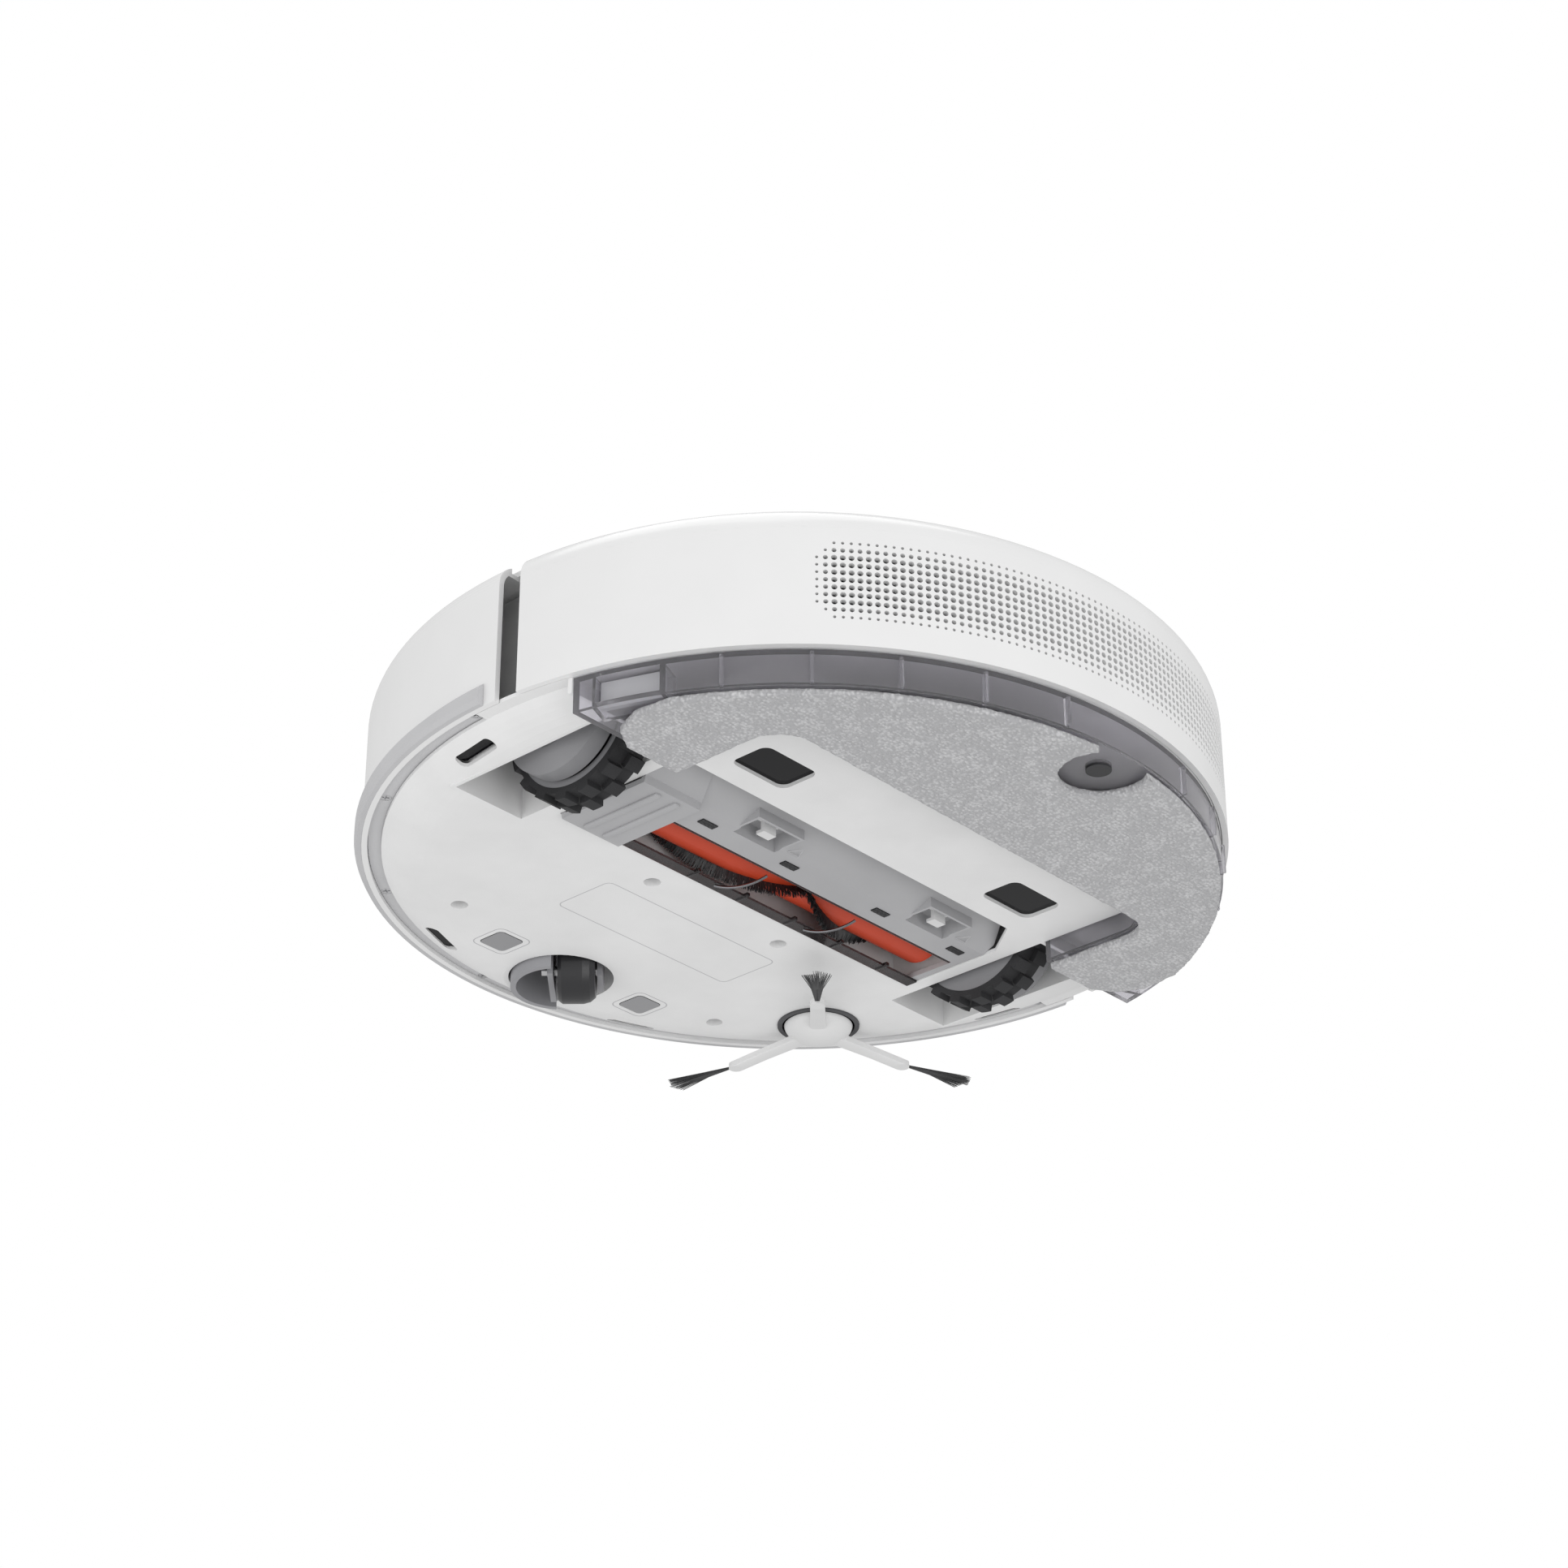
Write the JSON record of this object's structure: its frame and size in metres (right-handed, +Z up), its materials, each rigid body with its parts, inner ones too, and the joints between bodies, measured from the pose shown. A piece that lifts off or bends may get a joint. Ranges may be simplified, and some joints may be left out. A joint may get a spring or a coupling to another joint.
{
  "type": "robot vacuum",
  "caption": "Round robot vacuum with a mop tank: sprung bumper, drive wheels, caster, side brush, roller brush under a lift-off cover and a top lid.",
  "frame": {"origin": "on the floor under the middle of the round body", "axes": "+Z up, -Y towards the front of the robot, +X towards its left side"},
  "size_m": [0.3601, 0.353, 0.0815],
  "materials": {
    "white_shell": "satin gloss",
    "pan_plastic": "fine matte",
    "light_grey": "matte",
    "soft_strip": "soft matte",
    "dark_plastic": "matte",
    "black_gloss": "polished",
    "smoked_clear": "clear, smoked",
    "tyre_rubber": "matte",
    "bristle": "fibres",
    "roller_rubber": "soft matte",
    "cloth": "woven loops",
    "steel": "zinc plated",
    "contact_plate": "plated",
    "filter_paper": "pleated",
    "battery_wrap": "film",
    "board": "lacquered"
  },
  "bodies": {
    "base": {"chassis": "pan_plastic", "upper_housing": "white_shell", "lid_hinge_pins": "steel", "camera_window": "black_gloss", "bumper_switches": "dark_plastic", "bumper_springs": "steel", "base_screws": "steel", "charging_contacts": "contact_plate", "rear_cliff_windows": "black_gloss", "front_cliff_windows": "black_gloss", "arm_pins": "steel", "suspension_springs": "steel", "side_brush_motor": "dark_plastic", "side_brush_ring": "dark_plastic", "main_brush_motor": "dark_plastic", "brush_bearing": "dark_plastic", "brush_housing": "pan_plastic", "gear_cover": "light_grey", "dust_bin": "smoked_clear", "dust_filter": "filter_paper", "fan_housing": "dark_plastic", "fan_motor": "steel", "battery_pack": "battery_wrap", "main_board": "board"},
    "lid": {"bin_lid": "white_shell"},
    "power_key": {"power_button": "white_shell"},
    "home_key": {"home_button": "white_shell"},
    "front_bumper": {"bumper": "white_shell", "bumper_strip": "soft_strip", "bumper_ring": "light_grey", "bumper_screws": "steel"},
    "left_module": {"left_wheel_arm": "light_grey", "left_drive_motor": "dark_plastic"},
    "right_module": {"right_wheel_arm": "light_grey", "right_drive_motor": "dark_plastic"},
    "left_wheel": {"left_wheel_rim": "light_grey", "left_tyre": "tyre_rubber"},
    "right_wheel": {"right_wheel_rim": "light_grey", "right_tyre": "tyre_rubber"},
    "caster": {"caster_fork": "light_grey", "caster_axle": "steel"},
    "caster_roller": {"caster_wheel": "dark_plastic"},
    "side_brush": {"side_brush_rotor": "white_shell", "side_brush_bristles": "bristle"},
    "roller": {"main_brush_core": "roller_rubber", "main_brush_bristles": "bristle", "brush_gear": "pan_plastic"},
    "pinion": {"brush_pinion": "pan_plastic"},
    "cover": {"brush_cover": "light_grey", "brush_cover_lip": "smoked_clear", "cover_tufts": "bristle", "guard_wires": "steel"},
    "left_latch": {"left_cover_latch": "white_shell"},
    "right_latch": {"right_cover_latch": "white_shell"},
    "tank": {"water_tank": "smoked_clear", "mop_cloth": "cloth", "tank_valve": "black_gloss"},
    "left_tab": {"left_tank_button": "light_grey"},
    "right_tab": {"right_tank_button": "light_grey"},
    "fan": {"fan_impeller": "dark_plastic"}
  },
  "joints": [
    {"name": "lid_hinge", "type": "hinge", "parent": "base", "child": "lid", "pos_m": [0, 0.124, 0.0795], "axis": [-1, 0, 0], "range_deg": [0, 80]},
    {"name": "power_press", "type": "slide", "parent": "base", "child": "power_key", "axis": [0, 0, -1], "range_m": [0, 0.0008], "stiffness_N_per_m": 800, "springref_m": -0.0005},
    {"name": "home_press", "type": "slide", "parent": "base", "child": "home_key", "axis": [0, 0, -1], "range_m": [0, 0.0008], "stiffness_N_per_m": 800, "springref_m": -0.0005},
    {"name": "bumper_press", "type": "slide", "parent": "base", "child": "front_bumper", "axis": [0, 1, 0], "range_m": [0, 0.0035], "stiffness_N_per_m": 600, "springref_m": -0.003, "deforming": ["bumper_springs"]},
    {"name": "left_suspension", "type": "hinge", "parent": "base", "child": "left_module", "pos_m": [0.13, -0.036, 0.052], "axis": [-1, 0, 0], "range_deg": [0, 20], "stiffness_Nm_per_rad": 0.3, "springref_deg": 34.38},
    {"name": "right_suspension", "type": "hinge", "parent": "base", "child": "right_module", "pos_m": [-0.13, -0.036, 0.052], "axis": [-1, 0, 0], "range_deg": [0, 20], "stiffness_Nm_per_rad": 0.3, "springref_deg": 34.38},
    {"name": "left_wheel_spin", "type": "hinge", "parent": "left_module", "child": "left_wheel", "pos_m": [0.121, 0.001, 0.034], "axis": [1, 0, 0], "continuous": true},
    {"name": "right_wheel_spin", "type": "hinge", "parent": "right_module", "child": "right_wheel", "pos_m": [-0.121, 0.001, 0.034], "axis": [1, 0, 0], "continuous": true},
    {"name": "caster_swivel", "type": "hinge", "parent": "base", "child": "caster", "pos_m": [0, -0.134, 0.03], "axis": [0, 0, 1], "continuous": true},
    {"name": "caster_roll", "type": "hinge", "parent": "caster", "child": "caster_roller", "pos_m": [0.00297, -0.13132, 0.014], "axis": [-0.6691, 0.7431, 0], "continuous": true},
    {"name": "side_brush_spin", "type": "hinge", "parent": "base", "child": "side_brush", "pos_m": [-0.109, -0.084, 0.012], "axis": [0, 0, 1], "continuous": true, "deforming": ["side_brush_bristles"]},
    {"name": "main_brush_spin", "type": "hinge", "parent": "base", "child": "roller", "pos_m": [0, -0.015, 0.031], "axis": [1, 0, 0], "continuous": true},
    {"name": "pinion_spin", "type": "hinge", "parent": "base", "child": "pinion", "pos_m": [0.08, -0.00034, 0.04847], "axis": [1, 0, 0], "continuous": true},
    {"name": "cover_removal", "type": "slide", "parent": "base", "child": "cover", "axis": [0, 0, -1], "range_m": [0, 0.03]},
    {"name": "left_latch_press", "type": "slide", "parent": "cover", "child": "left_latch", "axis": [0, -1, 0], "range_m": [0, 0.003], "stiffness_N_per_m": 200, "springref_m": -0.002},
    {"name": "right_latch_press", "type": "slide", "parent": "cover", "child": "right_latch", "axis": [0, -1, 0], "range_m": [0, 0.003], "stiffness_N_per_m": 200, "springref_m": -0.002},
    {"name": "tank_slide", "type": "slide", "parent": "base", "child": "tank", "axis": [0, 1, 0], "range_m": [0, 0.14]},
    {"name": "left_tab_press", "type": "slide", "parent": "tank", "child": "left_tab", "axis": [-0.9336, -0.3584, 0], "range_m": [0, 0.003], "stiffness_N_per_m": 400, "springref_m": -0.002},
    {"name": "right_tab_press", "type": "slide", "parent": "tank", "child": "right_tab", "axis": [0.9336, -0.3584, 0], "range_m": [0, 0.003], "stiffness_N_per_m": 400, "springref_m": -0.002},
    {"name": "fan_spin", "type": "hinge", "parent": "base", "child": "fan", "pos_m": [-0.084, 0.094, 0.035], "axis": [0, 0, 1], "continuous": true}
  ],
  "couplings": [
    {"joint": "pinion_spin", "follows": "main_brush_spin", "ratio": -2}
  ]
}
